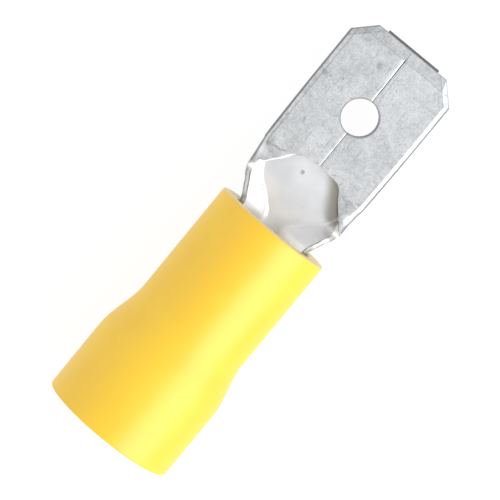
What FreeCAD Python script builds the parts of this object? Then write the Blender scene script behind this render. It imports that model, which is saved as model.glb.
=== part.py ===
import FreeCAD, Part
import math
import os

# Male spade terminal for a 6.35 mm receptacle, with a stepped insulating sleeve on its wire barrel.
# Origin: centre of the detent hole, half way through the tab.
# +X points to the tab's tip, +Z out of the face with the folding seam, and the barrel lies along -X.
# All sizes are in millimetres.

# Sheet the terminal is folded and rolled from
sheet = 0.385
fold_air = 0.03

# Tab, folded double with its seam along the middle of the upper face
tab_width = 6.35
tab_front = 4.2
fold_length = 7.85
tip_corner = 1.03
lead_in_length = 0.62
lead_in_depth = 0.17
corner_bevel_width = 0.3
edge_bevel_width = 0.28
edge_bevel_depth = 0.2
edge_bevel_crown = 0.02
stub_width = 3.2
stub_length = 0.12
detent_hole_diameter = 1.95

# Seam between the two flaps, which closes a little towards the window
seam_width_front = 0.07
seam_width_back = 0.04
seam_offset_front = 0.07
seam_offset_back = -0.02
seam_corner_left = 0.1
seam_corner_right = 0.32
seam_lip_width_front = 0.17
seam_lip_width_back = 0.06
seam_lip_depth = 0.12

# Window behind the flaps, where the floor of the sheet shows
window_front = 3.1
window_front_half = 1.1
window_bow = 0.1
shoulder_back = 4.95
shoulder_inset = 0.5
notch_root = 0.35

# Neck, where the sheet opens from the fold and rolls up into the barrel
neck_length = 4.0
neck_flat_left = 0.01

# Wire barrel, rolled from the same sheet with a butt seam on top
barrel_outer_radius = 2.25
barrel_length = 5.75
barrel_seam = 0.06
barrel_notch_length = 1.0

# Insulating sleeve, pushed over the barrel and stepped up for the wire's insulation
sleeve_clearance = 0.02
sleeve_front_radius = 3.16
sleeve_rear_radius = 3.65
sleeve_rear_wall = 0.75
sleeve_overhang = 0.79
sleeve_step_lead = 0.25
sleeve_step_length = 2.9
sleeve_rear_length = 3.85
sleeve_funnel_length = 2.1
sleeve_rim_round = 0.12
sleeve_mouth_chamfer = 0.18

# How far the cutting shapes stand out past the metal they cut
cutter_past = 1.0

tab_thickness = 2 * sheet + fold_air
tab_half = tab_width / 2
tab_bottom = -tab_thickness / 2
neck_front = tab_front - fold_length
neck_back = neck_front - neck_length
barrel_back = neck_back - barrel_length
axis_height = tab_bottom + barrel_outer_radius
fold_radius = tab_thickness / 2

# Stations down the neck, the last of them where it meets the barrel.
# Shares: of its length, of the way from barrel width to tab width, of the spare width that is flat floor,
# and of the way from fold radius to barrel radius at the low and at the high bend.
# Degrees: slope of the wall, and how far round from the floor the sheet is cut off.
sheet_closed = 180
neck_stations = [
    (0.0, 1.0, 0.998, 0.0, 0.0, 45, sheet_closed),
    (0.12, 0.87, 0.975, 0.04, 0.02, 57, sheet_closed),
    (0.24, 0.805, 0.955, 0.127, 0.05, 54, 170),
    (0.41, 0.757, 0.83, 0.2, 0.1, 52, 88),
    (0.59, 0.52, 0.52, 0.24, 0.2, 51, 54),
    (0.8, 0.2, 0.185, 0.3, 0.4, 51, 54),
    (1.0, 0.0, 0.5, 1.0, 1.0, 60, 90),
]


def vec(x, y, z):
    return FreeCAD.Vector(x, y, z)


def arcEdge(start, middle, end):
    return Part.Arc(start, middle, end).toShape()


def lineEdge(start, end):
    return Part.LineSegment(start, end).toShape()


def flatFace(points):
    return Part.Face(Part.makePolygon(points + [points[0]]))


# Closed section across the sheet at one x: flat floor and top, upright sides, four rounded corners
def sectionWire(x, half, bottom, height, run, rise, crown):
    top = bottom + height
    reach = math.hypot(run, rise)
    out_y = rise / reach * crown
    out_z = run / reach * crown

    def corner(side, upper):
        z_flat = top if upper else bottom
        z_side = z_flat - rise if upper else z_flat + rise
        z_out = out_z if upper else -out_z
        on_flat = vec(x, side * (half - run), z_flat)
        on_side = vec(x, side * half, z_side)
        middle = vec(x, side * (half - run / 2 + out_y), (z_flat + z_side) / 2 + z_out)
        return on_flat, middle, on_side

    low_right = corner(1, False)
    up_right = corner(1, True)
    low_left = corner(-1, False)
    up_left = corner(-1, True)
    edges = [
        lineEdge(low_left[0], low_right[0]),
        arcEdge(low_right[0], low_right[1], low_right[2]),
        lineEdge(low_right[2], up_right[2]),
        arcEdge(up_right[2], up_right[1], up_right[0]),
        lineEdge(up_right[0], up_left[0]),
        arcEdge(up_left[0], up_left[1], up_left[2]),
        lineEdge(up_left[2], low_left[2]),
        arcEdge(low_left[2], low_left[1], low_left[0]),
    ]
    return Part.Wire(edges)


# Outside of the tab, pressed to a narrow bevel along each fold
def tabOuterSection(x):
    return sectionWire(
        x, tab_half, tab_bottom, tab_thickness, edge_bevel_width, edge_bevel_depth, edge_bevel_crown
    )


# Where the outside of the sheet runs at one station, as lengths and radii of its floor, bends and walls
class NeckStation:
    def __init__(self, share, spread, floor_share, low_roll, high_roll, slope, cut_at):
        largest = barrel_outer_radius - neck_flat_left
        smallest = fold_radius - neck_flat_left
        half = barrel_outer_radius + (tab_half - barrel_outer_radius) * spread
        self.x = neck_front - neck_length * share
        self.low = smallest + (largest - smallest) * low_roll
        self.high = smallest + (largest - smallest) * high_roll
        self.slope = math.radians(slope)
        self.cut_at = math.radians(cut_at)
        spare = half - self.high - (self.low - self.high) * math.sin(self.slope)
        self.floor_half = spare * floor_share
        self.wall_run = spare - self.floor_half
        wall_rise = self.wall_run * math.tan(self.slope)
        self.centre_y = half - self.high
        bend_rise = self.low - (self.low - self.high) * math.cos(self.slope)
        self.centre_z = tab_bottom + bend_rise + wall_rise

    def on_bend(self, centre_y, centre_z, radius, angle, side):
        y = centre_y + radius * math.sin(angle)
        return vec(self.x, side * y, centre_z - radius * math.cos(angle))

    def low_bend(self, angle, inset, side):
        return self.on_bend(self.floor_half, tab_bottom + self.low, self.low - inset, angle, side)

    def high_bend(self, angle, inset, side):
        return self.on_bend(self.centre_y, self.centre_z, self.high - inset, angle, side)


stations = [NeckStation(*row) for row in neck_stations]
notch_end = NeckStation(1 + barrel_notch_length / neck_length, *neck_stations[-1][1:-1], sheet_closed)


# Closed section at one station: floor, low bend, straight wall, high bend and flat top
def neckSection(station, inset):
    def side_points(side):
        slope = station.slope
        low = [station.low_bend(angle, inset, side) for angle in (0, slope / 2, slope)]
        high = [station.high_bend(angle, inset, side) for angle in (slope, (slope + math.pi) / 2, math.pi)]
        return low, high

    low_right, high_right = side_points(1)
    low_left, high_left = side_points(-1)
    edges = [
        lineEdge(low_left[0], low_right[0]),
        arcEdge(low_right[0], low_right[1], low_right[2]),
        lineEdge(low_right[2], high_right[0]),
        arcEdge(high_right[0], high_right[1], high_right[2]),
        lineEdge(high_right[2], high_left[2]),
        arcEdge(high_left[2], high_left[1], high_left[0]),
        lineEdge(high_left[0], low_left[2]),
        arcEdge(low_left[2], low_left[1], low_left[0]),
    ]
    return Part.Wire(edges)


# One side of the sheet, outer with no inset or inner with the sheet's thickness as inset
def sheetBody(tab_wire, inset, past_front, past_back):
    tab = Part.Face(tab_wire).extrude(vec(fold_length + past_front, 0, 0))
    wires = [tab_wire] + [neckSection(station, inset) for station in stations[1:]]
    neck = Part.makeLoft(wires, True, False)
    barrel = Part.Face(wires[-1]).extrude(vec(-barrel_length - past_back, 0, 0))
    return tab.fuse(neck).fuse(barrel)


# Prism with a profile given as distance along an outward direction in plan, and height
def bevelPrism(start, outward, profile):
    along = vec(-outward.y, outward.x, 0)
    reach = tab_width
    points = []
    for distance, height in profile:
        at = start + outward * distance
        points.append(vec(at.x, at.y, height) - along * reach)
    return flatFace(points).extrude(along * 2 * reach)


# Two wedges that thin the tab towards an edge, one from above and one from below
def leadIn(edge_point, outward, width, depth):
    slope = depth / width
    top = tab_thickness / 2
    profile = [
        (-width, top),
        (cutter_past, top - slope * (width + cutter_past)),
        (cutter_past, top + cutter_past),
        (-width, top + cutter_past),
    ]
    upper = bevelPrism(edge_point, outward, profile)
    lower = bevelPrism(edge_point, outward, [(distance, -height) for distance, height in profile])
    return upper.fuse(lower)


# What is cut from the folded blank to give the tip its plan shape and its lead-in
def tipCutters():
    cutters = []
    tall = tab_thickness
    for side in (1, -1):
        outward = vec(1, side, 0).normalize()
        middle = vec(tab_front - tip_corner / 2, side * (tab_half - tip_corner / 2), 0)
        square = [(0, -tall), (tip_corner * 2, -tall), (tip_corner * 2, tall), (0, tall)]
        cutters.append(bevelPrism(middle, outward, square))
        cutters.append(leadIn(middle, outward, corner_bevel_width, lead_in_depth))
    for side in (1, -1):
        beside_stub = [
            vec(tab_front, side * stub_width / 2, -tall),
            vec(tab_front + 2 * stub_length, side * stub_width / 2, -tall),
            vec(tab_front + 2 * stub_length, side * tab_width, -tall),
            vec(tab_front, side * tab_width, -tall),
        ]
        cutters.append(flatFace(beside_stub).extrude(vec(0, 0, 2 * tall)))
    over_stub = [
        vec(tab_front, -tab_width, 0),
        vec(tab_front + 2 * stub_length, -tab_width, 0),
        vec(tab_front + 2 * stub_length, tab_width, 0),
        vec(tab_front, tab_width, 0),
    ]
    cutters.append(flatFace(over_stub).extrude(vec(0, 0, tall)))
    cutters.append(leadIn(vec(tab_front, 0, 0), vec(1, 0, 0), lead_in_length, lead_in_depth))
    return cutters


# Gap between the two flaps at one x, opened at the top by the bevelled lip of the left flap
def seamSection(x, offset, width, lip_width):
    left = offset + width / 2
    right = offset - width / 2
    tall = tab_thickness
    top = tab_thickness / 2
    lip_slope = lip_width / seam_lip_depth
    points = [
        vec(x, right, 0),
        vec(x, right, tall),
        vec(x, left + lip_width + lip_slope * (tall - top), tall),
        vec(x, left, top - seam_lip_depth),
        vec(x, left, 0),
    ]
    return Part.makePolygon(points + [points[0]])


# Seam with the flaps' corners taken off at the tip and at the window
def seamCutter():
    front = tab_front + 2 * stub_length
    back = -window_front - window_bow
    front_wire = seamSection(front, seam_offset_front, seam_width_front, seam_lip_width_front)
    back_wire = seamSection(back, seam_offset_back, seam_width_back, seam_lip_width_back)
    seam = Part.makeLoft([back_wire, front_wire], True, True)
    corners = []
    for x, inward in ((tab_front, -1), (-window_front, 1)):
        offset = seam_offset_front if inward < 0 else seam_offset_back
        plan = [
            vec(x + inward * seam_corner_left, offset, 0),
            vec(x, offset + seam_corner_left, 0),
            vec(x - inward * seam_corner_left, offset, 0),
            vec(x, offset - seam_corner_right, 0),
            vec(x + inward * seam_corner_left, offset - seam_width_back / 2, 0),
        ]
        corners.append(flatFace(plan).extrude(vec(0, 0, tab_thickness)))
    return [seam] + corners


# What is open above the neck at one station, down to the cut edges, which stand square to the sheet
def openSection(station):
    reach = sheet
    far = 2 * tab_width
    right = [station.high_bend(math.pi, station.high, 1), station.high_bend(station.cut_at, -reach, 1)]
    left = [station.high_bend(station.cut_at, -reach, -1), station.high_bend(math.pi, station.high, -1)]
    points = right + [vec(station.x, far, far), vec(station.x, -far, far)] + left
    return Part.makePolygon(points + [points[0]])


# Window and barrel notch: open in plan inside the flaps' rear edges, and behind them above the cut edges
def mouthCutter():
    shoulder_half = tab_half - shoulder_inset
    root_x = -shoulder_back - notch_root
    wide = tab_width
    plan = [
        vec(-window_front, 0, 0),
        vec(-window_front - window_bow, window_front_half, 0),
        vec(-shoulder_back, shoulder_half, 0),
        vec(root_x, wide, 0),
        vec(notch_end.x, wide, 0),
        vec(notch_end.x, -wide, 0),
        vec(root_x, -wide, 0),
        vec(-shoulder_back, -shoulder_half, 0),
        vec(-window_front - window_bow, -window_front_half, 0),
    ]
    tall = axis_height + 2 * barrel_outer_radius
    inside = flatFace(plan).extrude(vec(0, 0, tall))
    over_tab = Part.Face(openSection(stations[0])).extrude(vec(fold_length / 2, 0, 0))
    over_neck = Part.makeLoft([openSection(station) for station in stations + [notch_end]], True, True)
    return inside.common(over_tab.fuse(over_neck))


def makeTerminal():
    blank = sheetBody(tabOuterSection(neck_front), 0, stub_length, 0)
    body = blank.cut(tipCutters())
    hollow = sheetBody(neckSection(stations[0], sheet), sheet, tab_width, tab_width)
    body = body.cut(hollow)
    body = body.cut(mouthCutter())
    body = body.cut(seamCutter())
    barrel_gap = Part.makeBox(barrel_length + cutter_past, barrel_seam, 2 * barrel_outer_radius)
    barrel_gap.translate(vec(barrel_back - cutter_past, -barrel_seam / 2, axis_height))
    body = body.cut(barrel_gap)
    hole = Part.makeCylinder(detent_hole_diameter / 2, 2 * tab_thickness)
    hole.translate(vec(0, 0, -tab_thickness))
    return body.cut(hole).removeSplitter()


# Half profile of the sleeve, turned about the barrel's axis
def makeSleeve():
    front = neck_back + sleeve_overhang
    bore = barrel_outer_radius + sleeve_clearance
    rear_bore = sleeve_rear_radius - sleeve_rear_wall
    step_front = barrel_back + sleeve_step_lead
    step_back = step_front - sleeve_step_length
    rear = step_back - sleeve_rear_length
    funnel_front = barrel_back - sleeve_clearance
    funnel_back = funnel_front - sleeve_funnel_length
    third = sleeve_step_length / 3
    arc_share = sleeve_rim_round * (1 - math.sqrt(0.5))

    def at(x, radius):
        return vec(x, 0, axis_height + radius)

    step = Part.BezierCurve()
    step.setPoles([
        at(step_front, sleeve_front_radius),
        at(step_front - third, sleeve_front_radius),
        at(step_back + third, sleeve_rear_radius),
        at(step_back, sleeve_rear_radius),
    ])
    front_face = at(front, sleeve_front_radius - sleeve_rim_round)
    front_side = at(front - sleeve_rim_round, sleeve_front_radius)
    rear_side = at(rear + sleeve_rim_round, sleeve_rear_radius)
    rear_face = at(rear, sleeve_rear_radius - sleeve_rim_round)
    inside = [
        rear_face,
        at(rear, rear_bore + sleeve_mouth_chamfer),
        at(rear + sleeve_mouth_chamfer, rear_bore),
        at(funnel_back, rear_bore),
        at(funnel_front, bore),
        at(front - sleeve_mouth_chamfer, bore),
        at(front, bore + sleeve_mouth_chamfer),
        front_face,
    ]
    edges = [
        arcEdge(front_face, at(front - arc_share, sleeve_front_radius - arc_share), front_side),
        lineEdge(front_side, at(step_front, sleeve_front_radius)),
        step.toShape(),
        lineEdge(at(step_back, sleeve_rear_radius), rear_side),
        arcEdge(rear_side, at(rear + arc_share, sleeve_rear_radius - arc_share), rear_face),
    ]
    for start, end in zip(inside, inside[1:]):
        edges.append(lineEdge(start, end))
    profile = Part.Face(Part.Wire(edges))
    return profile.revolve(vec(0, 0, axis_height), vec(1, 0, 0), 360)


os.makedirs("parts", exist_ok=True)
pieces = {"terminal": makeTerminal(), "sleeve": makeSleeve()}
for name, shape in pieces.items():
    solids = shape.Solids
    print(name, "solids", len(solids), "valid", shape.isValid(), "volume", round(shape.Volume, 3))
    solids[0].exportStep("parts/" + name + ".step")
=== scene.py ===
import math

import bmesh
import bpy
import numpy as np
from mathutils import Matrix, Vector


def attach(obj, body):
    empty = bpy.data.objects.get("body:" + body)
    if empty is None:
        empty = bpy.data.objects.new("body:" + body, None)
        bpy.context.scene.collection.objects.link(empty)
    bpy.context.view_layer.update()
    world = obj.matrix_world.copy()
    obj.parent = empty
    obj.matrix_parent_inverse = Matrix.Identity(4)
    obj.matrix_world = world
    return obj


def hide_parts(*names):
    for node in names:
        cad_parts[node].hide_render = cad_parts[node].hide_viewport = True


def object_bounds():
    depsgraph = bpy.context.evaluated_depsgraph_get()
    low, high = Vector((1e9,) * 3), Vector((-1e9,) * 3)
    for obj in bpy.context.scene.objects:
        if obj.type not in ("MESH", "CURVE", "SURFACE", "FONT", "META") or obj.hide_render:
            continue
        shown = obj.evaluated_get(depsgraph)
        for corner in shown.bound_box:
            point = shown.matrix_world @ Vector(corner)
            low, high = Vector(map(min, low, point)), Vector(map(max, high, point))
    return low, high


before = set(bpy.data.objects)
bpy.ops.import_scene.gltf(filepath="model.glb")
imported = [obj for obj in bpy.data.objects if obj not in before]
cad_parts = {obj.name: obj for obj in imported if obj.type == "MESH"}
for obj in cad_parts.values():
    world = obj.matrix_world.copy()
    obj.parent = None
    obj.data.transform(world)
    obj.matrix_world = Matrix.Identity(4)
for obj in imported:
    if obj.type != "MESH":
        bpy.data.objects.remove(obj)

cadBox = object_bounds()
mm = 0.001  # the sizes below are in millimetres, the meshes in metres


# a socket takes a plain value or another node's output
def feed(tree, socket, value):
    if isinstance(value, bpy.types.NodeSocket):
        tree.links.new(value, socket)
    else:
        socket.default_value = value


def addNode(tree, kind, inputs=None, settings=None):
    node = tree.nodes.new(kind)
    for key, value in (settings or {}).items():
        setattr(node, key, value)
    for key, value in (inputs or {}).items():
        feed(tree, node.inputs[key], value)
    return node


def nodeOut(tree, kind, inputs=None, settings=None, output=0):
    return addNode(tree, kind, inputs, settings).outputs[output]


def combine(tree, operation, first, second=0.0):
    return nodeOut(tree, "ShaderNodeMath", {0: first, 1: second}, {"operation": operation})


def times(tree, first, second):
    return combine(tree, "MULTIPLY", first, second)


def plus(tree, first, second):
    return combine(tree, "ADD", first, second)


def minus(tree, first, second):
    return combine(tree, "SUBTRACT", first, second)


def larger(tree, first, second):
    return combine(tree, "MAXIMUM", first, second)


def unsigned(tree, value):
    return combine(tree, "ABSOLUTE", value)


# a pattern's share in a value, on top of the rest of it
def swung(tree, value, share, rest):
    return plus(tree, times(tree, value, share), rest)


# a smooth rise from start to end while the value goes from low to high
def between(tree, value, low, high, start=0.0, end=1.0):
    levels = {"Value": value, "From Min": low, "From Max": high, "To Min": start, "To Max": end}
    return nodeOut(tree, "ShaderNodeMapRange", levels, {"interpolation_type": "SMOOTHSTEP"})


def betweenMm(tree, value, low, high, start=0.0, end=1.0):
    return between(tree, value, low * mm, high * mm, start, end)


# one from lowFull to highFull, and fading out to nothing at low and high
def withinMm(tree, value, low, lowFull, highFull, high):
    return times(tree, betweenMm(tree, value, low, lowFull), betweenMm(tree, value, high, highFull))


# a soft line where the value comes near a place
def lineAt(tree, value, place, width, core, depth=1.0):
    return betweenMm(tree, unsigned(tree, minus(tree, value, place * mm)), width, core, 0, depth)


def blend(tree, share, first, second):
    first, second = [(*color, 1) if isinstance(color, tuple) else color for color in (first, second)]
    return nodeOut(tree, "ShaderNodeMix", {0: share, 6: first, 7: second}, {"data_type": "RGBA"}, 2)


def objectCoords(tree):
    return nodeOut(tree, "ShaderNodeTexCoord", output="Object")


def splitXyz(tree, vector):
    return list(addNode(tree, "ShaderNodeSeparateXYZ", {0: vector}).outputs)


# one on a level face, nothing on an upright one
def flatness(tree):
    return unsigned(tree, splitXyz(tree, nodeOut(tree, "ShaderNodeTexCoord", output="Normal"))[2])


def stretched(tree, coords, turn, scale):
    return nodeOut(tree, "ShaderNodeMapping", {
        "Vector": coords, "Rotation": (0, 0, math.radians(turn)), "Scale": scale})


def noise(tree, coords, scale, detail, rough=0.55, distortion=0.0):
    return nodeOut(tree, "ShaderNodeTexNoise", {
        "Vector": coords, "Scale": scale, "Detail": detail, "Roughness": rough, "Distortion": distortion})


# noise spread over the full range between two of its levels
def pattern(tree, coords, scale, detail, rough, distortion, low, high):
    return between(tree, noise(tree, coords, scale, detail, rough, distortion), low, high)


def spot(tree, coords, place, radius):
    away = nodeOut(tree, "ShaderNodeVectorMath", {0: coords, 1: [value * mm for value in place]},
                   {"operation": "DISTANCE"}, "Value")
    return betweenMm(tree, away, radius, 0.2 * radius)


def newMaterial(name):
    material = bpy.data.materials.new(name)
    material.use_nodes = True
    material.node_tree.nodes.clear()
    return material, material.node_tree


def finish(tree, color, roughness, metallic, bumpHeight, bumpStrength, extra=None):
    bump = nodeOut(tree, "ShaderNodeBump", {
        "Height": bumpHeight, "Strength": bumpStrength, "Distance": 0.02 * mm})
    shader = nodeOut(tree, "ShaderNodeBsdfPrincipled", {
        "Base Color": color, "Roughness": roughness, "Metallic": metallic, "Normal": bump, **(extra or {})})
    addNode(tree, "ShaderNodeOutputMaterial", {"Surface": shader})


def tidyMesh(mesh):
    work = bmesh.new()
    work.from_mesh(mesh)
    bmesh.ops.remove_doubles(work, verts=work.verts, dist=2e-7)
    bmesh.ops.dissolve_degenerate(work, edges=work.edges, dist=1e-7)
    bmesh.ops.recalc_face_normals(work, faces=work.faces)
    work.to_mesh(mesh)
    work.free()


def bakeObject(thing):
    bpy.context.view_layer.update()
    return bpy.data.meshes.new_from_object(thing.evaluated_get(bpy.context.evaluated_depsgraph_get()))


def placeObject(name, data):
    thing = bpy.data.objects.new(name, data)
    bpy.context.scene.collection.objects.link(thing)
    return thing


def addPiece(name, mesh, node):
    piece = placeObject(name, mesh)
    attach(piece, "root")
    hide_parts(node)


# terminal: one sheet, folded double for the tab and rolled up behind it
terminalSizes = {
    "sheet": 0.385,
    "foldAir": 0.03,
    "tip": 4.2,
    "stub": 0.12,
    "stubHalf": 1.6,
    "tabHalf": 3.18,
    "tipCorner": 1.03,
    "leadIn": (0.62, 0.17),
    "cornerLeadIn": (0.3, 0.17),
    "holeRadius": 0.975,
    "holeSides": 96,
    "foldEnd": -3.65,
    "barrelFront": -7.65,
    "barrelBack": -13.4,
    # outside of the fold along the tab, pressed to a bevel that fades out behind
    "bevelRun": 0.28,
    "bevelRise": 0.2,
    "bevelPower": 1.75,
    "bevelFade": (-3.62, -4.13),
    "rollDepth": 0.09,  # the rounded corner along the cut edges
    # rows of x and a size there
    "sections": {
        # outer half width of the whole bend
        "half": [
            (4.4, 3.18), (3, 3.18), (0, 3.175), (-2.25, 3.15), (-3, 3.135), (-3.65, 3.11), (-4.13, 3.055),
            (-4.61, 3.0), (-5.29, 2.96), (-6.01, 2.74), (-6.85, 2.435), (-7.4, 2.42), (-7.65, 2.25),
            (-14, 2.25)],
        # half width of the flat floor
        "floorHalf": [
            (-3.65, 2.71), (-4.13, 2.53), (-4.61, 2.29), (-5.29, 1.85), (-6.01, 1.0), (-6.85, 0.27),
            (-7.4, 0.2), (-7.65, 0.01)],
        # inner radius of the bend between floor and wall
        "lowBend": [
            (4.4, 0.015), (-3.65, 0.015), (-4.13, 0.08), (-4.61, 0.24), (-5.29, 0.38), (-6.01, 0.45),
            (-6.85, 0.56), (-7.4, 0.62), (-7.65, 1.855), (-14, 1.855)],
        # angle of the wall in degrees
        "wallAngle": [
            (-3.65, 60), (-4.13, 57), (-4.61, 54), (-5.29, 52), (-6.01, 51), (-7.4, 51), (-7.65, 60)],
        # inner radius of the bend between wall and flap
        "highBend": [
            (4.4, 0.015), (-3.65, 0.015), (-4.13, 0.04), (-4.61, 0.1), (-5.29, 0.19), (-6.01, 0.38),
            (-6.85, 0.75), (-7.4, 0.8), (-7.65, 1.855), (-14, 1.855)],
        # where each flap ends across the tab
        "leftEnd": [
            (4.4, 0.078), (-2.9, 0.007), (-3.1, 0.007), (-3.13, 0.1), (-3.16, 0.5), (-3.25, 0.95),
            (-3.38, 1.2), (-4, 1.72), (-4.5, 2.18), (-4.8, 2.45)],
        "rightEnd": [
            (4.4, -0.063), (-2.9, 0.007), (-3.1, 0.007), (-3.13, 0.1), (-3.18, 0.6), (-3.23, 1.05),
            (-3.32, 1.3), (-4, 1.86), (-4.5, 2.28), (-4.8, 2.53)],
        # how far round from the floor the sheet goes, in degrees
        "cutAngle": [
            (-4.7, 180), (-4.82, 168), (-4.94, 156), (-5.02, 142), (-5.1, 124), (-5.18, 106),
            (-5.29, 91), (-5.6, 73), (-6.01, 54), (-7.4, 55), (-7.65, 90), (-8.65, 179), (-14, 179)],
        # width of the rounded corner along each cut edge
        "leftRoll": [
            (4.4, 0.17), (1, 0.08), (-3, 0.06), (-3.3, 0.1), (-3.5, 0.2), (-4.2, 0.16), (-4.8, 0.1),
            (-5.2, 0.07), (-14, 0.06)],
        "rightRoll": [
            (4.4, 0.03), (-3, 0.03), (-3.3, 0.06), (-4.8, 0.07), (-5.2, 0.07), (-14, 0.06)],
    },
    # distance between the rings along the sheet, in the stub, in front of each x, and in the barrel
    "stubStep": 0.12,
    "steps": [(-3.0, 0.2), (-3.36, 0.02), (-4.9, 0.04), (-5.1, 0.02), (-7.0, 0.05), (-8.65, 0.1)],
    "barrelStep": 0.6,
    # points round half a ring: floor, low bend, wall, high bend, flap
    "points": (12, 12, 10, 12, 24),
    "rollPoints": 4,
    "curvePoints": 24,  # points that each part is worked out with
}

sheet = terminalSizes["sheet"]
tabTop = sheet + terminalSizes["foldAir"] / 2

# paint of the plating; places and widths in mm, depths as shares
tinLook = {
    "light": (0.84, 0.86, 0.88),
    "dull": (0.48, 0.495, 0.51),
    # the colour of real specks, and also of the painted shade lines
    "speckAndShade": (0.33, 0.33, 0.335),
    # painted highlight
    "paintedHighlight": (0.95, 0.96, 0.97),
    "inside": (0.895, 0.91, 0.935),
    "insideDull": (0.85, 0.865, 0.885),
    # painted highlight on the neck's walls and on a corner of the cut edge
    "wall": (0.99, 0.985, 0.98),
    # painted shade in the nook at the sleeve's mouth
    "nookShade": (0.5, 0.56, 0.56),
    # painted shadow below the right flap's edge
    "paintedFlapShadow": (0.42, 0.4, 0.355),
    "edge": (0.72, 0.72, 0.71),
    # painted shade
    "paintedShade": (0.2, 0.2, 0.2),
    # noise: scale, detail, roughness, distortion, level where it starts, level where it is full
    "clouds": (750, 5, 0.62, 0.4, 0.36, 0.66),
    "mottle": (3300, 4, 0.65, 0.0, 0.36, 0.64),
    "fine": (9500, 2, 0.6, 0.3, 0.36, 0.66),
    "patches": (1300, 2, 0.55, 0.0, 0.45, 0.62),
    "specks": (6500, 2, 0.5, 0.6, 0.62, 0.72),
    "scratches": (1, 2, 0.55, 0.0, 0.66, 0.74),
    "smears": (2600, 3, 0.6, 0.0, 0.4, 0.62),
    "insideClouds": (600, 3, 0.55, 0.0, 0.35, 0.65),
    "insideSpecks": (5200, 2, 0.55, 0.0, 0.7, 0.78),
    "insideGrain": (9000, 2, 0.55, 0.0, 0.35, 0.5),
    "edgeGrain": (3000, 3, 0.6, 0.0, 0.35, 0.65),
    # roughness: how far a pattern moves it, and its lowest or highest level; strength of the bump
    "plateRough": (-0.08, 0.47),
    "plateBump": 0.12,
    "mottleHeight": 0.6,
    "insideRough": (0.06, 0.32),
    "insideBump": 0.05,
    "edgeRough": (0.1, 0.45),
    "edgeBump": 0.15,
    # shares of clouds, mottle and fine in the plate's tone
    "toneShares": (0.3, 0.35, 0.35),
    "speckCrowd": (0.6, 0.3),  # specks are denser inside patches
    "scratchTurns": (35, -60, 80),
    "scratchStretch": (500, 6500, 500),
    "scratchDepth": 0.45,
    # dark blots on the flaps, several of them along the flap crease: x, y, radius
    "darkBlots": [
        (0.75, 2.85, 0.3), (-1.85, -2.6, 0.3), (-3.62, 2.2, 0.28), (-3.75, -2.35, 0.3), (-4.15, 2.45, 0.3),
        (3.2, 2.1, 0.35), (2.6, 0.9, 0.3), (-2.9, -2.1, 0.25), (-3.4, 1.65, 0.25), (-3.85, 2.75, 0.25),
        (-3.5, -2.75, 0.28), (-3.45, -1.8, 0.2), (-3.55, 2.65, 0.3)],
    "blotDepth": 0.75,
    # painted highlights on the flaps' rear corners: place, radius
    "bright": [((-4.3, 2.8, 0.55), 0.5), ((-4.3, -2.8, 0.55), 0.5)],
    "brightDepth": 0.8,
    # painted shade on the steep sides of the folds: flatness where it starts and is full, how dark, and how
    # far out
    "foldSteep": (0.78, 0.45, 0, 0.85),
    "foldFrom": (2.2, 2.5),
    # painted shade outline along the sides: distance from the middle where it starts and is full, how dark,
    # and how fast it comes in behind the hole
    "outline": (3.085, 3.125, 0, 0.9),
    "outlineNarrows": 0.018,
    "outlineEnds": (-5.3, -4.9),
    # painted shade lines: place, width, core, depth; the hole's rim has its place from the sizes
    "holeRim": (0.08, 0.03, 0.85),
    "leadInLines": [(3.58, 0.035, 0.01, 0.4), (4.19, 0.05, 0.01, 0.7)],
    "cornerLines": [(5.93, 0.05, 0.01, 0.45), (6.34, 0.08, 0.01, 0.85)],
    "crease": (2.9, 0.05, 0.01, 0.5),
    "creaseEnds": (-3.7, -3.5),
    # painted shade of a crooked dent across each flap's rear: line, noise that bends it and how far, reach,
    # depth
    "dentShade": (-3.32, 0.08, 0.015),
    "dentWaves": (1400, 2),
    "dentSway": 0.7,
    "dentReach": (1.65, 1.9, 2.5, 2.8),
    "dentDepth": (0.1, 0.5, 0.35, 0.8),
    # shade under the right flap's edge: how x and y count, where it starts and is full
    "shadeSlope": (-0.62, 1.03),
    "shade": (1.6, 0.85),
    "shadeEnds": (-5.3, -4.85),
    # painted highlight on the walls of the neck: flatness and distance from the middle where it starts and
    # is full
    "wallSteep": (0.97, 0.7),
    "wallFrom": (0.2, 0.6),
    "wallSpot": ((-5.9, 1.4, 0), 1.3),
    # painted shade in a nook, and a duller floor, at the sleeve's mouth
    "nookSpot": ((-6.8, -0.4, 0), 0.7),
    "nookDepth": 0.25,
    "mouthSpot": ((-6.7, 0.1, 0), 1.4),
    "mouthSide": (0.9, 0.4),
    # dark dot on the floor behind the window's front, and fainter specks all over
    "dotSpots": [((-3.95, 0.45, 0), 0.16), ((-3.93, 0.47, 0), 0.17)],
    "insideSpeckDepth": 0.2,
    # painted shade on the stub's end
    "tipDark": (3.0, 3.1, 0, 0.85),  # the stub's end
    # painted shade along the corners of the cut edge, on its inner face and on the cut itself, and where it
    # begins
    "insideBorder": (0.07, 0.02, 0.7),
    "insideBorderStarts": (-5.15, -5.5),
    "edgeBorder": (0.13, 0.03),
    "edgeBorderStarts": (-5.3, -5.6),
    "edgeUneven": (0.5, 0.45),
    # painted shade towards the sleeve and inside the hole, and a painted highlight on a corner of the cut
    # edge
    "edgeEndDark": (-6.2, -6.7, 0, 0.8),
    "holeWall": (1.05, 1.0),
    "brightCorner": (-5.45, -5.25, -4.95, -4.75),
    "dullMetal": 0.95,  # how much of the metallic shine the mouth and the bright corner lose
}


# place along the sheet, and the way round it from the outer corner of its cut edge
def sheetPosition(tree):
    return splitXyz(tree, nodeOut(tree, "ShaderNodeUVMap", settings={"uv_map": "sheetMap"}))[:2]


def holeDistance(tree, coords):
    level = stretched(tree, coords, 0, (1, 1, 0))
    return nodeOut(tree, "ShaderNodeVectorMath", {0: level}, {"operation": "LENGTH"}, "Value")
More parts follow.
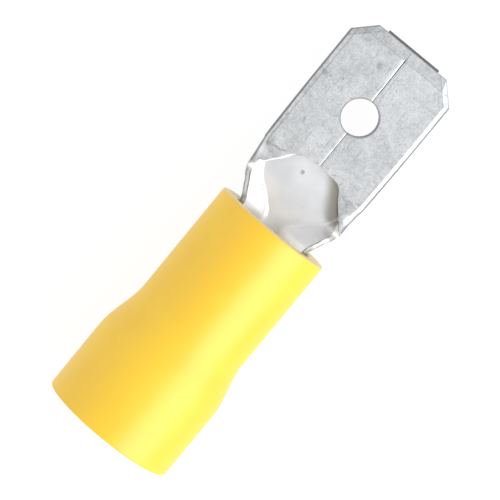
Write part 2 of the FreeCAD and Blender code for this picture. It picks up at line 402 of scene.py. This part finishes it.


# specks, scratches and dark blots
def plateMarks(tree, coords):
    look = tinLook
    crowd = swung(tree, pattern(tree, coords, *look["patches"]), *look["speckCrowd"])
    marks = times(tree, pattern(tree, coords, *look["specks"]), crowd)
    for turn in look["scratchTurns"]:
        lines = pattern(tree, stretched(tree, coords, turn, look["scratchStretch"]), *look["scratches"])
        marks = larger(tree, marks, times(tree, lines, look["scratchDepth"]))
    smears = pattern(tree, coords, *look["smears"])
    for x, y, radius in look["darkBlots"]:
        blot = times(tree, spot(tree, coords, (x, y, tabTop), radius), smears)
        marks = larger(tree, marks, times(tree, blot, look["blotDepth"]))
    return marks


# painted shade on the steep sides of the folds, and a painted shade outline that narrows towards the rear
def foldOutline(tree, x, fromMiddle):
    look = tinLook
    side = between(tree, flatness(tree), *look["foldSteep"])
    side = times(tree, side, betweenMm(tree, fromMiddle, *look["foldFrom"]))
    narrower = times(tree, combine(tree, "MINIMUM", x, 0), look["outlineNarrows"])
    outline = betweenMm(tree, minus(tree, fromMiddle, narrower), *look["outline"])
    return times(tree, larger(tree, side, outline), betweenMm(tree, x, *look["outlineEnds"]))


# painted shade lines: the hole's rim, the lead-ins, the crease of the left fold and the dents at the rear
def paintedShadeLines(tree, coords, x, y, fine):
    look = tinLook
    fromMiddle = unsigned(tree, y)
    lines = [lineAt(tree, holeDistance(tree, coords), terminalSizes["holeRadius"], *look["holeRim"])]
    lines += [lineAt(tree, x, *line) for line in look["leadInLines"]]
    diagonal = plus(tree, x, fromMiddle)
    lines += [lineAt(tree, diagonal, *line) for line in look["cornerLines"]]
    lines.append(times(tree, lineAt(tree, y, *look["crease"]), betweenMm(tree, x, *look["creaseEnds"])))
    swaying = plus(tree, x, times(tree, noise(tree, coords, *look["dentWaves"]), look["dentSway"] * mm))
    dentShade = times(tree, lineAt(tree, swaying, *look["dentShade"]), withinMm(tree, fromMiddle, *look["dentReach"]))
    lines.append(times(tree, dentShade, between(tree, fine, *look["dentDepth"])))
    return lines


# outer face of the sheet: matt tin, mottled, specked and lightly scratched, with painted highlights on the
# flaps' rear corners and painted shade along the folds, edges, creases and the hole's rim
def paintPlate():
    look = tinLook
    material, tree = newMaterial("tinPlate")
    coords = objectCoords(tree)
    x, y, _ = splitXyz(tree, coords)
    clouds, mottle, fine = [pattern(tree, coords, *look[name]) for name in ("clouds", "mottle", "fine")]
    shares = [times(tree, part, share) for part, share in zip((clouds, mottle, fine), look["toneShares"])]
    tone = plus(tree, plus(tree, shares[0], shares[1]), shares[2])
    marks = plateMarks(tree, coords)
    color = blend(tree, tone, look["dull"], look["light"])
    color = blend(tree, marks, color, look["speckAndShade"])
    # painted highlights on the flaps' rear corners
    for place, radius in look["bright"]:
        patch = times(tree, spot(tree, coords, place, radius), look["brightDepth"])
        color = blend(tree, patch, color, look["paintedHighlight"])
    # painted shade on the steep sides of the folds and along the outline
    color = blend(tree, foldOutline(tree, x, unsigned(tree, y)), color, look["paintedShade"])
    # painted shade lines at the hole's rim, the lead-ins, the corners, the crease and the dents
    for line in paintedShadeLines(tree, coords, x, y, fine):
        color = blend(tree, line, color, look["speckAndShade"])
    rough = swung(tree, mottle, *look["plateRough"])
    height = minus(tree, times(tree, mottle, look["mottleHeight"]), marks)
    finish(tree, color, rough, 1.0, height, look["plateBump"])
    return material


# inner face of the sheet: smoother and brighter, with painted highlights on the walls, painted shade in the
# nook, at the stub's end and along the cut edge, and a painted shadow below the right flap
def paintInside():
    look = tinLook
    material, tree = newMaterial("tinInside")
    coords = objectCoords(tree)
    x, y, _ = splitXyz(tree, coords)
    along, fromEdge = sheetPosition(tree)
    clouds = pattern(tree, coords, *look["insideClouds"])
    color = blend(tree, clouds, look["insideDull"], look["inside"])

    # painted highlight on the neck's walls
    wall = between(tree, flatness(tree), *look["wallSteep"])
    wall = times(tree, wall, betweenMm(tree, unsigned(tree, y), *look["wallFrom"]))
    wall = larger(tree, wall, spot(tree, coords, *look["wallSpot"]))
    color = blend(tree, wall, color, look["wall"])
    # painted shade in the nook at the sleeve's mouth
    nookShade = times(tree, spot(tree, coords, *look["nookSpot"]), look["nookDepth"])
    color = blend(tree, nookShade, color, look["nookShade"])

    # painted shadow of the right flap's edge on the floor
    across = plus(tree, times(tree, x, look["shadeSlope"][0]), times(tree, y, look["shadeSlope"][1]))
    shade = times(tree, betweenMm(tree, across, *look["shade"]), betweenMm(tree, x, *look["shadeEnds"]))
    color = blend(tree, shade, color, look["paintedFlapShadow"])
    # painted shade on the stub's end
    color = blend(tree, betweenMm(tree, x, *look["tipDark"]), color, look["paintedShade"])

    specks = pattern(tree, coords, *look["insideSpecks"])
    marks = times(tree, specks, look["insideSpeckDepth"])
    grain = pattern(tree, coords, *look["insideGrain"])
    for dot, texture in zip(look["dotSpots"], (specks, grain)):
        marks = larger(tree, marks, times(tree, spot(tree, coords, *dot), texture))
    color = blend(tree, marks, color, look["speckAndShade"])
    # painted shade along the inner corner of the cut edge
    border = lineAt(tree, fromEdge, sheet, *look["insideBorder"])
    border = times(tree, border, betweenMm(tree, along, *look["insideBorderStarts"]))
    color = blend(tree, border, color, look["paintedShade"])

    mouth = times(tree, spot(tree, coords, *look["mouthSpot"]), betweenMm(tree, y, *look["mouthSide"]))
    metallic = minus(tree, 1, times(tree, mouth, look["dullMetal"]))
    finish(tree, color, swung(tree, clouds, *look["insideRough"]), metallic, clouds, look["insideBump"])
    return material


# cut edge of the sheet: bright in the middle, with painted shade along both corners, towards the sleeve, in
# the hole and at the stub's end, and a painted highlight on one corner of the neck
def paintEdge():
    look = tinLook
    material, tree = newMaterial("tinShearedEdge")
    coords = objectCoords(tree)
    x, _, _ = splitXyz(tree, coords)
    along, fromEdge = sheetPosition(tree)
    grain = pattern(tree, coords, *look["edgeGrain"])
    # painted shade along both corners of the cut edge, towards the sleeve, in the hole and at the stub's
    # end
    borders = [lineAt(tree, fromEdge, place, *look["edgeBorder"]) for place in (0, sheet)]
    dark = times(tree, larger(tree, *borders), betweenMm(tree, along, *look["edgeBorderStarts"]))
    dark = larger(tree, dark, betweenMm(tree, along, *look["edgeEndDark"]))
    dark = times(tree, dark, swung(tree, grain, *look["edgeUneven"]))
    dark = larger(tree, dark, betweenMm(tree, holeDistance(tree, coords), *look["holeWall"]))
    dark = larger(tree, dark, betweenMm(tree, x, *look["tipDark"]))
    # painted highlight on a corner of the cut edge
    corner = withinMm(tree, x, *look["brightCorner"])
    color = blend(tree, corner, blend(tree, dark, look["edge"], look["paintedShade"]), look["wall"])
    metallic = minus(tree, 1, times(tree, corner, look["dullMetal"]))
    finish(tree, color, swung(tree, grain, *look["edgeRough"]), metallic, grain, look["edgeBump"])
    return material


tin = paintPlate()
tinInside = paintInside()
tinEdge = paintEdge()


# smooth curve through rows of x and a value, x falling, with no overshoot between them
def curveThrough(rows):
    xs = np.array([row[0] for row in rows][::-1], float)
    ys = np.array([row[1] for row in rows][::-1], float)
    steps = np.diff(xs)
    rises = np.diff(ys) / steps
    slopes = np.zeros(len(xs))
    slopes[0], slopes[-1] = rises[0], rises[-1]
    for i in range(1, len(xs) - 1):
        if rises[i - 1] * rises[i] > 0:
            slopes[i] = 2 * rises[i - 1] * rises[i] / (rises[i - 1] + rises[i])

    def at(x):
        x = min(max(x, xs[0]), xs[-1])
        i = min(int(np.searchsorted(xs, x, side="right")) - 1, len(steps) - 1)
        t = (x - xs[i]) / steps[i]
        a = (1 + 2 * t) * (1 - t) ** 2 * ys[i] + t * (1 - t) ** 2 * steps[i] * slopes[i]
        return a + t * t * (3 - 2 * t) * ys[i + 1] + t * t * (t - 1) * steps[i] * slopes[i + 1]

    return at


def ringPlaces():
    s = terminalSizes
    places = [s["tip"] + s["stub"]]
    for end, step in [(s["tip"], s["stubStep"]), *s["steps"], (s["barrelBack"], s["barrelStep"])]:
        start = places[-1]
        count = max(1, round((start - end) / step))
        places += [start + (end - start) * (i + 1) / count for i in range(count)]
    return places


rowAt = {name: curveThrough(rows) for name, rows in terminalSizes["sections"].items()}


# inner line of half a section, from the middle of the floor to the cut edge: y, z and direction
def innerParts(x, side):
    s = terminalSizes
    count = s["curvePoints"]
    half, low, high = rowAt["half"](x), rowAt["lowBend"](x), rowAt["highBend"](x)
    lastAngle = math.radians(rowAt["cutAngle"](x))
    if x > s["foldEnd"] or x < s["barrelFront"]:
        wallAngle, wall = math.pi / 2, 0.0
        floorHalf = half - sheet - low
    else:
        wallAngle = math.radians(rowAt["wallAngle"](x))
        floorHalf = rowAt["floorHalf"](x)
        wall = half - floorHalf - sheet - high - (low - high) * math.sin(wallAngle)
        wall = max(wall / math.cos(wallAngle), 0)

    y, z = floorHalf, sheet - tabTop
    parts = [(np.linspace(0, y, count), np.full(count, z), np.zeros(count))]
    angles = np.linspace(0, wallAngle, count)
    parts.append((y + low * np.sin(angles), z + low * (1 - np.cos(angles)), angles))
    y, z = parts[-1][0][-1], parts[-1][1][-1]
    parts.append((np.linspace(y, y + wall * math.cos(wallAngle), count),
                  np.linspace(z, z + wall * math.sin(wallAngle), count), np.full(count, wallAngle)))
    y, z = parts[-1][0][-1], parts[-1][1][-1]
    angles = np.linspace(wallAngle, lastAngle, count)
    parts.append((y + high * (np.sin(angles) - math.sin(wallAngle)),
                  z + high * (math.cos(wallAngle) - np.cos(angles)), angles))
    y, z = parts[-1][0][-1], parts[-1][1][-1]
    hasFlap = x >= s["sections"]["cutAngle"][0][0]
    end = min(rowAt[side + "End"](x), y) if hasFlap else y
    parts.append((np.linspace(y, end, count), np.full(count, z), np.full(count, lastAngle)))
    return parts


# outer line: the inner one set off by the sheet, and along the tab the pressed fold
def outerParts(x, inner):
    s = terminalSizes
    count, run, rise, power = s["curvePoints"], s["bevelRun"], s["bevelRise"], s["bevelPower"]
    parts = [(y + sheet * np.sin(angle), z - sheet * np.cos(angle)) for y, z, angle in inner]
    full, gone = s["bevelFade"]
    pressed = min(max((x - gone) / (full - gone), 0), 1)
    if pressed == 0:
        return parts
    half = rowAt["half"](x)
    turn = np.linspace(0, math.pi / 2, count)
    across = run * (1 - np.cos(turn) ** power)
    along = rise * (1 - np.sin(turn) ** power)
    flat = [
        (np.linspace(0, half - run, count), np.full(count, -tabTop)),
        (half - across[::-1], along[::-1] - tabTop),
        (np.full(count, half), np.linspace(rise - tabTop, tabTop - rise, count)),
        (half - across, tabTop - along),
        (np.linspace(half - run, inner[-1][0][-1], count), np.full(count, tabTop)),
    ]
    return [(a[0] * (1 - pressed) + b[0] * pressed, a[1] * (1 - pressed) + b[1] * pressed)
            for a, b in zip(parts, flat)]


# the same number of points in each part of a line: y, z and distance from the cut edge
def sampleLine(parts, cutBack):
    ys = np.concatenate([part[0] for part in parts])
    zs = np.concatenate([part[1] for part in parts])
    lengths = np.concatenate([[0], np.cumsum(np.hypot(np.diff(ys), np.diff(zs)))])
    stop = lengths[-1] - cutBack
    breaks = [0.0] + [lengths[terminalSizes["curvePoints"] * (i + 1) - 1] for i in range(len(parts))]
    marks = [0.0]
    for count, start, end in zip(terminalSizes["points"], breaks, breaks[1:]):
        a, b = min(start, stop), min(end, stop)
        marks += [a + (b - a) * (i + 1) / count for i in range(count)]
    return np.interp(marks, lengths, ys), np.interp(marks, lengths, zs), np.array(marks) - lengths[-1]


# outer line, cut edge with its rounded corner, and inner line of half a ring
def halfRing(x, side):
    inner = innerParts(x, side)
    outer = outerParts(x, inner)
    roll = rowAt[side + "Roll"](x)
    count = terminalSizes["rollPoints"]
    outerY, outerZ, outerRun = sampleLine(outer, roll)
    innerY, innerZ, innerRun = sampleLine(inner, 0)
    corner = np.array([outer[-1][0][-1], outer[-1][1][-1]])
    start = np.array([outerY[-1], outerZ[-1]])
    through = np.array([innerY[-1], innerZ[-1]]) - corner
    below = corner + through / np.hypot(*through) * min(terminalSizes["rollDepth"], roll)
    rounded = []
    for i in range(1, count + 1):
        angle = math.pi / 2 * i / count
        point = start + (corner - start) * math.sin(angle) + (below - corner) * (1 - math.cos(angle))
        rounded.append((point[0], point[1], -roll * (1 - i / count)))
    return list(zip(outerY, outerZ, outerRun)), rounded, list(zip(innerY, innerZ, sheet - innerRun))


def sheetMesh():
    verts, rings, sheetMap = [], [], []
    for x in ringPlaces():
        rightOuter, rightRoll, rightInner = halfRing(x, "right")
        leftOuter, leftRoll, leftInner = halfRing(x, "left")
        points = [(-y, z, v) for y, z, v in rightOuter + rightRoll + rightInner[::-1]]
        points += [(y, z, v) for y, z, v in leftInner[1:] + leftRoll[::-1] + leftOuter[::-1][:-1]]
        rings.append(list(range(len(verts), len(verts) + len(points))))
        verts += [(x * mm, y * mm, z * mm) for y, z, _ in points]
        sheetMap += [(x * mm, v * mm) for _, _, v in points]
    size = len(rings[0])
    lineCount = sum(terminalSizes["points"]) + 1
    rollCount = terminalSizes["rollPoints"]
    rightCut = lineCount + rollCount - 1
    leftCut = 3 * lineCount + rollCount - 2
    plate, inside, edge = range(3)
    faces, kinds = [], []
    for near, far in zip(rings, rings[1:]):
        for i in range(size):
            j = (i + 1) % size
            faces.append((near[i], far[i], far[j], near[j]))
            kinds.append(edge if i in (rightCut, leftCut) else inside if rightCut < i < leftCut else plate)
    faces += [tuple(rings[0]), tuple(rings[-1][::-1])]
    kinds += [edge, edge]
    mesh = bpy.data.meshes.new("terminalSheet")
    mesh.from_pydata(verts, [], faces)
    for material in (tin, tinInside, tinEdge):
        mesh.materials.append(material)
    mesh.polygons.foreach_set("material_index", kinds)
    layer = mesh.uv_layers.new(name="sheetMap")
    layer.data.foreach_set("uv", [value for loop in mesh.loops for value in sheetMap[loop.vertex_index]])
    tidyMesh(mesh)
    return mesh


def cutterMesh(name, verts, faces, material):
    mesh = bpy.data.meshes.new(name)
    mesh.from_pydata([[value * mm for value in vert] for vert in verts], [], faces)
    mesh.materials.append(material)
    tidyMesh(mesh)
    return mesh


def prismCutter(name, plan, low, high, material):
    count = len(plan)
    faces = [tuple(range(count))[::-1], tuple(range(count, 2 * count))]
    faces += [(i, (i + 1) % count, (i + 1) % count + count, i + count) for i in range(count)]
    return cutterMesh(name, [(x, y, z) for z in (low, high) for x, y in plan], faces, material)


# takes a slope off an edge at a point of the plan: width back from the edge, depth down at it
def slopeCutter(name, point, outward, width, depth, upper, material):
    past, reach = 1, 6
    sign = 1 if upper else -1
    edgeTop = tabTop - depth / width * (width + past)
    profile = [(-width, tabTop), (past, edgeTop), (past, tabTop + past), (-width, tabTop + past)]
    along = (-outward[1], outward[0])
    verts = []
    for side in (-reach, reach):
        for distance, height in profile:
            verts.append((point[0] + outward[0] * distance + along[0] * side,
                          point[1] + outward[1] * distance + along[1] * side, sign * height))
    faces = [(0, 1, 2, 3), (7, 6, 5, 4), (0, 4, 5, 1), (1, 5, 6, 2), (2, 6, 7, 3), (3, 7, 4, 0)]
    return cutterMesh(name, verts, faces, material)


def terminalCutters():
    s = terminalSizes
    tip, stubHalf, past, wide, reach = s["tip"], s["stubHalf"], 1, 5, 3
    cutters = []
    for side in (1, -1):
        outward = (math.sqrt(0.5), side * math.sqrt(0.5))
        middle = (tip - s["tipCorner"] / 2, side * (s["tabHalf"] - s["tipCorner"] / 2))
        ends = [(middle[0] + outward[1] * turn * side * reach, middle[1] - outward[0] * turn * side * reach)
                for turn in (-1, 1)]
        plan = ends + [(x + outward[0] * reach, y + outward[1] * reach) for x, y in ends[::-1]]
        cutters.append(prismCutter("tipCorner", plan, -past, past, tinEdge))
        for upper in (True, False):
            cutters.append(slopeCutter("cornerLeadIn", middle, outward, *s["cornerLeadIn"], upper, tin))
        near, far = side * stubHalf, side * wide
        plan = [(tip, near), (tip + past, near), (tip + past, far), (tip, far)]
        cutters.append(prismCutter("besideStub", plan, -past, past, tinEdge))
    plan = [(tip, -wide), (tip + past, -wide), (tip + past, wide), (tip, wide)]
    cutters.append(prismCutter("overStub", plan, 0, past, tin))
    for upper in (True, False):
        cutters.append(slopeCutter("frontLeadIn", (tip, 0), (1, 0), *s["leadIn"], upper, tin))
    turns = np.linspace(0, 2 * math.pi, s["holeSides"] + 1)[:-1]
    hole = [(s["holeRadius"] * math.cos(turn), s["holeRadius"] * math.sin(turn)) for turn in turns]
    cutters.append(prismCutter("detentHole", hole, -past, past, tinEdge))
    return cutters


def cutMesh(mesh, cutters):
    blank = placeObject("blank", mesh)
    tools = [placeObject(cutter.name, cutter) for cutter in cutters]
    for tool in tools:
        modifier = blank.modifiers.new(tool.name, "BOOLEAN")
        modifier.operation = "DIFFERENCE"
        modifier.solver = "EXACT"
        modifier.material_mode = "TRANSFER"
        modifier.object = tool
    result = bakeObject(blank)
    for thing in tools + [blank]:
        bpy.data.objects.remove(thing)
    return result


def smoothByAngle(mesh, degrees):
    mesh.polygons.foreach_set("use_smooth", [True] * len(mesh.polygons))
    work = bmesh.new()
    work.from_mesh(mesh)
    limit = math.radians(degrees)
    for edge in work.edges:
        edge.smooth = len(edge.link_faces) == 2 and edge.calc_face_angle(0) < limit
    work.to_mesh(mesh)
    work.free()


terminalMesh = cutMesh(sheetMesh(), terminalCutters())
smoothByAngle(terminalMesh, 14)
addPiece("foldedSheet", terminalMesh, "terminal")
print("terminal:", len(terminalMesh.polygons), "faces")

# sleeve: one profile turned round the barrel's axis
sleeveSizes = {
    "Axis Height": 1.85,
    "Front": -6.86,
    "Rear": -19.9,
    "Front Radius": 3.16,
    "Rear Radius": 3.65,
    "Step Front": -13.15,
    "Step Length": 2.9,
    "Front Bore": 2.27,
    "Rear Bore": 2.9,
    "Funnel Front": -13.42,
    "Funnel Back": -15.52,
    "Rim Round": 0.1,
}
sleeveSides = 144

vinylLook = {
    "color": (0.985, 0.62, 0.004),
    "deeper": (0.965, 0.585, 0.004),
    "clouds": (350, 3, 0.5, 0.0, 0.35, 0.65),
    "pores": (4200, 3, 0.6),
    "cutFace": (0.82, 0.62, 0.26),
    "cutFaceFrom": (-6.93, -6.87),
    "rough": (0.05, 0.4),
    "bump": 0.06,
    "gloss": {"Specular IOR Level": 1.0, "Coat Weight": 0.12, "Coat Roughness": 0.35},
}


def paintVinyl():
    look = vinylLook
    material, tree = newMaterial("yellowVinyl")
    coords = objectCoords(tree)
    x, _, _ = splitXyz(tree, coords)
    clouds = pattern(tree, coords, *look["clouds"])
    color = blend(tree, clouds, look["deeper"], look["color"])
    color = blend(tree, betweenMm(tree, x, *look["cutFaceFrom"]), color, look["cutFace"])
    pores = noise(tree, coords, *look["pores"])
    finish(tree, color, swung(tree, clouds, *look["rough"]), 0.0, pores, look["bump"], look["gloss"])
    return material


def sleeveTree():
    tree = bpy.data.node_groups.new("turnedSleeve", "GeometryNodeTree")
    tree.interface.new_socket(name="Geometry", in_out="OUTPUT", socket_type="NodeSocketGeometry")
    for name in sleeveSizes:
        tree.interface.new_socket(name=name, in_out="INPUT", socket_type="NodeSocketFloat")
    tree.interface.new_socket(name="Material", in_out="INPUT", socket_type="NodeSocketMaterial")
    given = addNode(tree, "NodeGroupInput").outputs

    # corners of the profile, with the number of cuts in the line behind each
    corners = [
        ("Front", "Front Radius", 36), ("Rear", "Front Radius", 2), ("Rear", "Rear Bore", 5),
        ("Funnel Back", "Rear Bore", 4), ("Funnel Front", "Front Bore", 6), ("Front", "Front Bore", 2),
    ]
    places = addNode(tree, "GeometryNodeIndexSwitch", settings={"data_type": "VECTOR"})
    cuts = addNode(tree, "GeometryNodeIndexSwitch", settings={"data_type": "INT"})
    index = nodeOut(tree, "GeometryNodeInputIndex")
    for switch in (places, cuts):
        while len(switch.index_switch_items) < len(corners):
            switch.index_switch_items.new()
        feed(tree, switch.inputs[0], index)
    for i, (x, radius, count) in enumerate(corners):
        corner = nodeOut(tree, "ShaderNodeCombineXYZ", {0: given[radius], 1: given[x]})
        feed(tree, places.inputs[i + 1], corner)
        feed(tree, cuts.inputs[i + 1], count)
    line = nodeOut(tree, "GeometryNodeMeshLine", {"Count": len(corners)})
    line = nodeOut(tree, "GeometryNodeSetPosition", {"Geometry": line, "Position": places.outputs[0]})
    profile = nodeOut(tree, "GeometryNodeMeshToCurve", {"Mesh": line})
    profile = nodeOut(tree, "GeometryNodeSetSplineCyclic", {"Geometry": profile, "Cyclic": True})
    profile = nodeOut(tree, "GeometryNodeSubdivideCurve", {"Curve": profile, "Cuts": cuts.outputs[0]})
    profile = nodeOut(tree, "GeometryNodeFilletCurve", {
        "Curve": profile, "Radius": given["Rim Round"], "Count": 5, "Limit Radius": True}, {"mode": "POLY"})

    # the outer wall swells over the step
    radius, x, _ = splitXyz(tree, nodeOut(tree, "GeometryNodeInputPosition"))
    grow = between(tree, x, given["Step Front"], minus(tree, given["Step Front"], given["Step Length"]),
                   0.0, minus(tree, given["Rear Radius"], given["Front Radius"]))
    justInside = plus(tree, given["Front Radius"], -0.15 * mm)
    grow = times(tree, grow, combine(tree, "GREATER_THAN", radius, justInside))
    shift = nodeOut(tree, "ShaderNodeCombineXYZ", {0: grow})
    profile = nodeOut(tree, "GeometryNodeSetPosition", {"Geometry": profile, "Offset": shift})

    # the profile stands off from the path by the bore's radius
    back = nodeOut(tree, "ShaderNodeCombineXYZ", {0: times(tree, given["Front Bore"], -1.0)})
    profile = nodeOut(tree, "GeometryNodeSetPosition", {"Geometry": profile, "Offset": back})
    path = nodeOut(tree, "GeometryNodeCurvePrimitiveCircle", {
        "Resolution": sleeveSides, "Radius": given["Front Bore"]})
    wall = nodeOut(tree, "GeometryNodeCurveToMesh", {"Curve": path, "Profile Curve": profile})
    wall = nodeOut(tree, "GeometryNodeSetShadeSmooth", {"Geometry": wall})
    lift = nodeOut(tree, "ShaderNodeCombineXYZ", {2: given["Axis Height"]})
    wall = nodeOut(tree, "GeometryNodeTransform", {
        "Geometry": wall, "Translation": lift, "Rotation": (0, -math.pi / 2, 0)})
    wall = nodeOut(tree, "GeometryNodeRealizeInstances", {"Geometry": wall})
    wall = nodeOut(tree, "GeometryNodeSetMaterial", {"Geometry": wall, "Material": given["Material"]})
    addNode(tree, "NodeGroupOutput", {0: wall})
    return tree


def bakeTree(name, tree, values):
    holder = placeObject(name, bpy.data.meshes.new(name))
    modifier = holder.modifiers.new(name, "NODES")
    modifier.node_group = tree
    for item in tree.interface.items_tree:
        if item.item_type == "SOCKET" and item.in_out == "INPUT":
            modifier[item.identifier] = values[item.name]
    mesh = bakeObject(holder)
    bpy.data.objects.remove(holder)
    tidyMesh(mesh)
    return mesh


sleeveValues = {name: size * mm for name, size in sleeveSizes.items()}
sleeveMesh = bakeTree("sleeve", sleeveTree(), {**sleeveValues, "Material": paintVinyl()})
addPiece("vinylSleeve", sleeveMesh, "sleeve")
print("sleeve:", len(sleeveMesh.polygons), "faces")

# camera, from the photograph's viewing angle
cameraSettings = {
    "aim": (-8.602, 0.053, 0.4),
    "leanX": 4.835,
    "leanY": 5.531,
    "roll": 50.957,
    "distance": 137.506,
    "pixelsPerMm": 19.938,
    "picturePixels": 500,
    "sensor": 36,
}


def makeCamera():
    s = cameraSettings
    back = Vector((math.sin(math.radians(s["leanX"])), math.sin(math.radians(s["leanY"])), 0))
    back.z = math.sqrt(1 - back.length_squared)
    right = Vector((0, 1, 0)).cross(back).normalized()
    up = back.cross(right)
    roll = math.radians(s["roll"])
    turnedRight = right * math.cos(roll) - up * math.sin(roll)
    turnedUp = right * math.sin(roll) + up * math.cos(roll)
    place = (Vector(s["aim"]) + back * s["distance"]) * mm
    camera = placeObject("camera", bpy.data.cameras.new("camera"))
    camera.matrix_world = Matrix((
        (turnedRight.x, turnedUp.x, back.x, place.x),
        (turnedRight.y, turnedUp.y, back.y, place.y),
        (turnedRight.z, turnedUp.z, back.z, place.z),
        (0, 0, 0, 1),
    ))
    camera.data.sensor_width = s["sensor"]
    camera.data.lens = s["pixelsPerMm"] * s["distance"] / s["picturePixels"] * s["sensor"]
    camera.data.clip_start = 0.005
    camera.data.clip_end = 10
    bpy.context.scene.camera = camera


makeCamera()
print("camera: set")

# floor and light; places and sizes in metres
studio = {
    "floorSize": 4,
    "floorPaint": (0.8, 0.8, 0.8),
    "floorSeen": (0.15, 0.15, 0.15),
    "floorGlow": 0.9,
    # lamps: place, aim, size, radiance
    "keyLight": ((-0.02, -0.215, 0.168), (-0.008, 0, 0), (0.4, 0.27), 2.45),
    "fillLight": ((-0.01, 0.22, 0.09), (-0.008, 0, 0), (0.35, 0.2), 0.3),
    "worldStrength": 0.72,
}


# white where it is looked at, plain grey paint for the light that falls on the part
def paintFloor():
    material, tree = newMaterial("paleFloor")
    rays = addNode(tree, "ShaderNodeLightPath").outputs
    seen = larger(tree, rays["Is Camera Ray"], rays["Is Glossy Ray"])
    seen = larger(tree, seen, rays["Is Transmission Ray"])
    paint = blend(tree, seen, studio["floorPaint"], studio["floorSeen"])
    diffuse = nodeOut(tree, "ShaderNodeBsdfDiffuse", {"Color": paint})
    glow = nodeOut(tree, "ShaderNodeEmission", {"Strength": times(tree, seen, studio["floorGlow"])})
    surface = nodeOut(tree, "ShaderNodeAddShader", {0: diffuse, 1: glow})
    addNode(tree, "ShaderNodeOutputMaterial", {"Surface": surface})
    return material


floorZ = cadBox[0][2]
bpy.ops.mesh.primitive_plane_add(size=studio["floorSize"], location=(0, 0, floorZ))
floor = bpy.context.object
floor.name = "floor"
floor.data.materials.append(paintFloor())


def areaLight(name, place, aim, size, radiance):
    data = bpy.data.lights.new(name, "AREA")
    data.shape = "RECTANGLE"
    data.size, data.size_y = size
    data.energy = radiance * math.pi * size[0] * size[1]
    lamp = placeObject(name, data)
    lamp.location = place
    lamp.rotation_mode = "QUATERNION"
    lamp.rotation_quaternion = (Vector(aim) - Vector(place)).to_track_quat("-Z", "Y")


for name in ("keyLight", "fillLight"):
    areaLight(name, *studio[name])

world = bpy.data.worlds.new("studio")
bpy.context.scene.world = world
world.use_nodes = True
world.node_tree.nodes["Background"].inputs["Color"].default_value = (1, 1, 1, 1)
world.node_tree.nodes["Background"].inputs["Strength"].default_value = studio["worldStrength"]
bpy.context.scene.view_settings.view_transform = "Standard"
print("floor and light: set")
